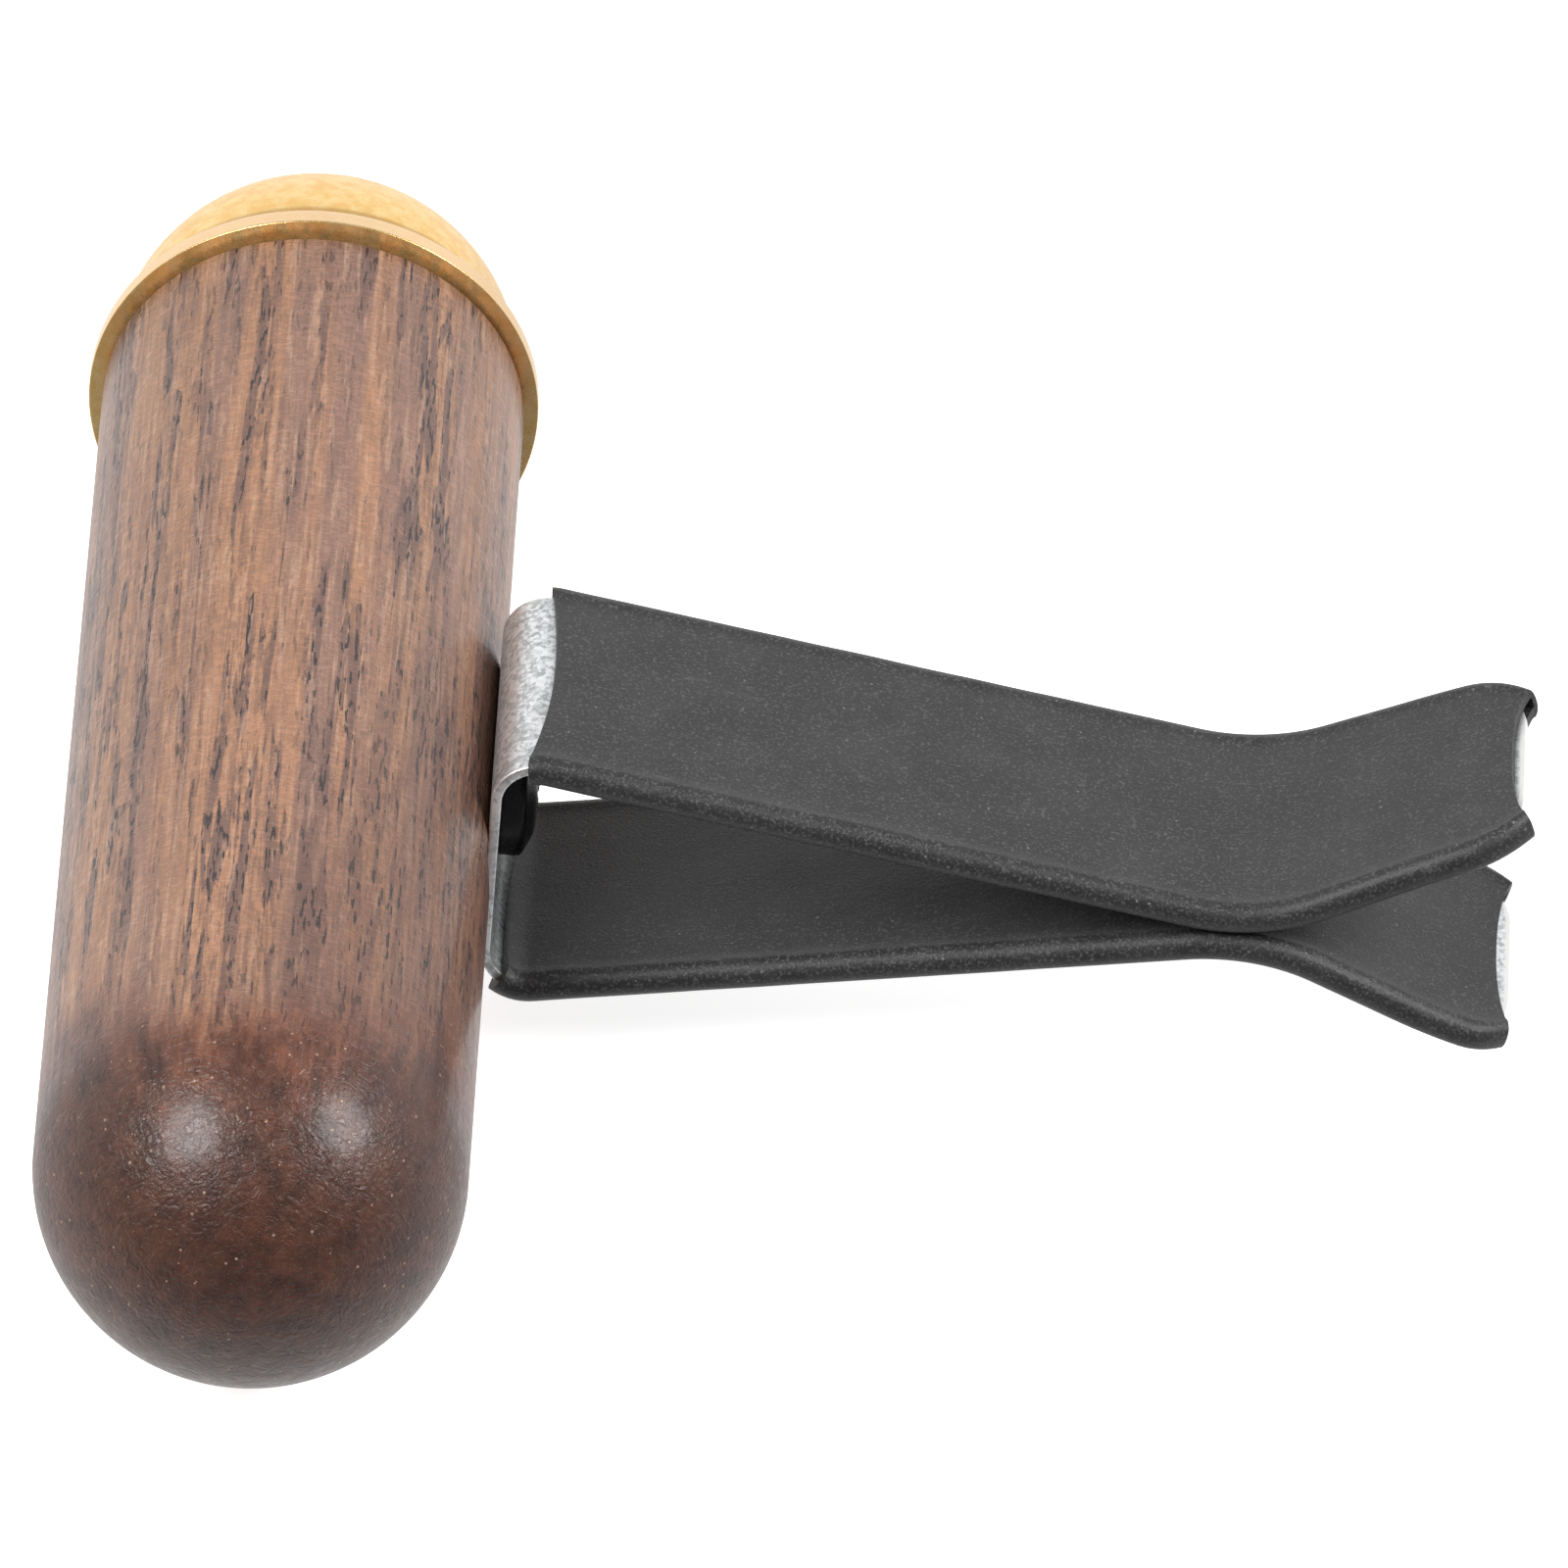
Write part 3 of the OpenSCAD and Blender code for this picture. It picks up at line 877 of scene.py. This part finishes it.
def build_sleeve(side, material):
    """A flattened vinyl tube over one arm, hollow-cut at both ends and drawn in round the strip's tip."""
    half_w = SLEEVE_W / 2
    across, rows = 30, 190
    outer = flat_loop(SLEEVE_T / 2, half_w, 0.66, across, corner_steps=6)
    bead = np.exp(-(((np.abs(outer[:, 1]) - STRIP_W / 2 + 0.15) / BEAD_W) ** 2))
    flat = smoothstep(half_w - 0.1, half_w - 0.9, np.abs(outer[:, 1]))
    outer[:, 0] -= np.sign(outer[:, 0]) * BEAD_H * flat * (1 - bead)
    inner = flat_loop(STRIP_T / 2 + FIT_GAP, STRIP_W / 2 + FIT_GAP, 0.09, across, corner_steps=6)
    draw_in, draw_len = DRAW_IN_OF_SIDE[side]

    def ends(y, offset):
        """Distances along the arm at which the sleeve is cut. The two sleeves are not cut quite alike."""
        if side > 0:
            root = -0.07 - 0.012 * (y - 1.35) ** 2
            tip = -0.42 + 0.8 * (abs(y) / half_w) ** 2.6
        else:
            root = -0.95 + 0.05 * y - 0.005 * (y - 0.9) ** 2
            root -= 0.7 * smoothstep(0.3, -0.5, offset) * (1 - (y / half_w) ** 2)
            tip = -0.72 + 0.75 * (abs(y) / half_w) ** 2.4
        return ARM_START + root, ARM_LENGTH + tip

    def s_at(u, y, offset):
        root, tip = ends(y, offset)
        return root + u * (tip - root)

    def narrowed(points, loop):
        """Pulls the grid's sides in towards the tip."""
        out = points.copy()
        tip = ARM_LENGTH + 0.4
        for i in range(len(points)):
            offset, y = loop[i % len(loop)]
            s = s_at(i // len(loop) / (rows - 1), y, offset)
            pull = SLEEVE_TAPER * smoothstep(tip - 2 - TAPER_LEN, tip - 2, s)
            pull += draw_in * np.clip((s - tip + draw_len) / draw_len, 0, 1) ** 2
            out[i, 1] = y * (1 - pull / half_w)
        return out

    outer_points = narrowed(swept(lambda u: outer, rows, s_at, side), outer)
    inner_points = narrowed(swept(lambda u: inner, rows, s_at, side), inner)
    count = len(inner)
    shift = rows * count
    outer_faces = grid_faces(rows, count)
    inner_faces = [tuple(shift + k for k in reversed(face)) for face in outer_faces]
    rims = []
    for row in (0, rows - 1):
        for j in range(count):
            a, b = row * count + j, row * count + (j + 1) % count
            rims.append((a, b, shift + b, shift + a))
    waves = np.array([noise.noise(Vector((p[0] * 0.35, p[1] * 0.5, side * 7.0))) for p in outer_points])
    outer_points[:, 2] += side * 0.025 * waves * smoothstep(4.0, 8.0, np.abs(outer_points[:, 0]))
    points = np.vstack((outer_points, inner_points))
    faces = outer_faces + inner_faces + rims
    name = NAME_OF_SIDE[side]
    sleeve = make_piece(name + "_grip_sleeve", points, faces, material)
    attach(sleeve, BODY_OF_SIDE[side])
    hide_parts(name + "_sleeve")


def cut_recess(screw, turn, material):
    """Cuts one tapered slot of the cross recess into the screw's head."""
    work = bmesh.new()
    bmesh.ops.create_cube(work, size=1.0)
    for v in work.verts:
        taper = 1.0 if v.co.x > 0 else RECESS_TAPER
        slot = RECESS_SLOT * (0.6 + 0.4 * taper)
        v.co = Vector((v.co.x * RECESS_DEPTH, v.co.y * RECESS_SPAN * taper, v.co.z * slot))
    bmesh.ops.rotate(work, verts=work.verts, matrix=Matrix.Rotation(math.radians(turn), 3, "X"))
    bmesh.ops.translate(work, verts=work.verts, vec=(PLATE_HIGH[0] + HEAD_H, 0, 0))
    corners = [v.co[:] for v in work.verts]
    sides = [[v.index for v in f.verts] for f in work.faces]
    work.free()
    carve(screw, make_piece("recess", corners, sides, material))


def build_screw(material):
    """Black pan-head wood screw with a cross recess, a tapping thread and a drawn-out point."""
    outline = rounded(
        [
            (0, HEAD_H, 0),
            (HEAD_R * 0.62, HEAD_H - 0.12, 1.5),
            (HEAD_R, HEAD_H - 0.62, 0.35),
            (HEAD_R, 0, 0.12),
            (SHANK_R, 0, 0.1),
            (SHANK_R, -SHANK_LEN + POINT_LEN, 0),
            (0.3, -SHANK_LEN, 0.1),
            (0, -SHANK_LEN, 0),
        ],
        closed=False,
        arc_steps=6,
    )

    def shape(r, h, angles):
        if h > -STRIP_T - 0.4 or r < 0.2:
            return np.full(len(angles), r)
        wave = np.abs((h / SCREW_PITCH + angles / (2 * math.pi)) % 1.0 - 0.5) * 2
        return r * (1 - SCREW_THREAD * smoothstep(0.25, 0.8, wave))

    points, faces = revolved(divided(outline, 0.12, closed=False), 96, on_screw, wrap=False, shape=shape)
    screw = make_piece("clip_pan_screw", points, faces, material)
    for turn in (0, 90):
        cut_recess(screw, turn + RECESS_TURN, material)
    screw.data.shade_smooth()
    screw.data.set_sharp_from_angle(angle=math.radians(35))
    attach(screw, "barrel")
    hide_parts("clip_screw")


# ---------------------------------------------------------------- the studio
def build_floor(material):
    """A wide flat floor just under the object."""
    reach, level = 4000.0, CAP_LOW[2] - 0.02
    ways = [(-1, -1), (1, -1), (1, 1), (-1, 1)]
    corners = [(x * reach * MM, y * reach * MM, level * MM) for x, y in ways]
    mesh = bpy.data.meshes.new("studio_floor")
    mesh.from_pydata(corners, [], [(0, 1, 2, 3)])
    mesh.materials.append(material)
    floor = bpy.data.objects.new("studio_floor", mesh)
    bpy.context.scene.collection.objects.link(floor)


def soft_box(name, direction):
    """A round soft light at a direction from the origin, facing it."""
    light = bpy.data.lights.new(name, "AREA")
    light.shape = "DISK"
    light.size = BOX_SIZE
    light.energy = BOX_WATTS
    lamp = bpy.data.objects.new(name, light)
    way = Vector(direction).normalized()
    lamp.location = way * BOX_DISTANCE
    lamp.rotation_mode = "QUATERNION"
    lamp.rotation_quaternion = way.to_track_quat("Z", "Y")
    bpy.context.scene.collection.objects.link(lamp)


def build_studio():
    """A room that is bright behind the object and dim in front, with two soft boxes above the camera."""
    world = bpy.data.worlds.new("white_room")
    bpy.context.scene.world = world
    world.use_nodes = True
    tree = world.node_tree
    direction = tree.nodes.new("ShaderNodeTexCoord").outputs["Generated"]
    facing = tree.nodes.new("ShaderNodeVectorMath")
    facing.operation = "DOT_PRODUCT"
    facing.inputs[1].default_value = ROOM_AXIS
    rise = tree.nodes.new("ShaderNodeMapRange")
    rise.interpolation_type = "SMOOTHSTEP"
    limits = {"From Min": -0.35, "From Max": 0.35, "To Min": FRONT_LIGHT, "To Max": BACK_LIGHT}
    for key, value in limits.items():
        rise.inputs[key].default_value = value
    tree.links.new(direction, facing.inputs[0])
    tree.links.new(facing.outputs["Value"], rise.inputs["Value"])
    tree.links.new(rise.outputs[0], tree.nodes["Background"].inputs["Strength"])
    tree.nodes["Background"].inputs["Color"].default_value = (1.0, 1.0, 1.0, 1.0)
    soft_box("left_box", LEFT_BOX_WAY)
    soft_box("right_box", RIGHT_BOX_WAY)
    bpy.context.scene.view_settings.view_transform = "Standard"


def build_camera():
    """A long lens aimed at the object from the viewing angle."""
    azimuth, elevation, roll = (math.radians(a) for a in (CAMERA_AZIMUTH, CAMERA_ELEVATION, CAMERA_ROLL))
    back = Vector(
        (math.sin(azimuth) * math.cos(elevation), -math.cos(azimuth) * math.cos(elevation), math.sin(elevation))
    )
    level = Vector((math.cos(azimuth), math.sin(azimuth), 0))
    rise = back.cross(level)
    right = level * math.cos(roll) + rise * math.sin(roll)
    up = back.cross(right)
    camera = bpy.data.objects.new("camera", bpy.data.cameras.new("camera"))
    camera.data.lens = CAMERA_LENS
    camera.data.sensor_width = SENSOR_WIDTH
    camera.data.clip_start = 0.05
    camera.data.clip_end = 20.0
    camera.rotation_mode = "QUATERNION"
    camera.rotation_quaternion = Matrix((right, up, back)).transposed().to_quaternion()
    camera.location = Vector(CAMERA_AIM) * MM + back * CAMERA_DISTANCE * MM
    bpy.context.scene.collection.objects.link(camera)
    bpy.context.scene.camera = camera


# ---------------------------------------------------------------- build everything
steel = bright_steel()
vinyl = black_vinyl()
build_barrel(walnut())
build_insert(brass())
build_wick(wool_felt())
build_cap(gold())
build_plate(steel)
for arm_side in (1, -1):
    build_strip(arm_side, steel)
    build_sleeve(arm_side, vinyl)
build_screw(black_paint())
build_seal(seal_rubber())
build_floor(pale_floor())
build_studio()
build_camera()
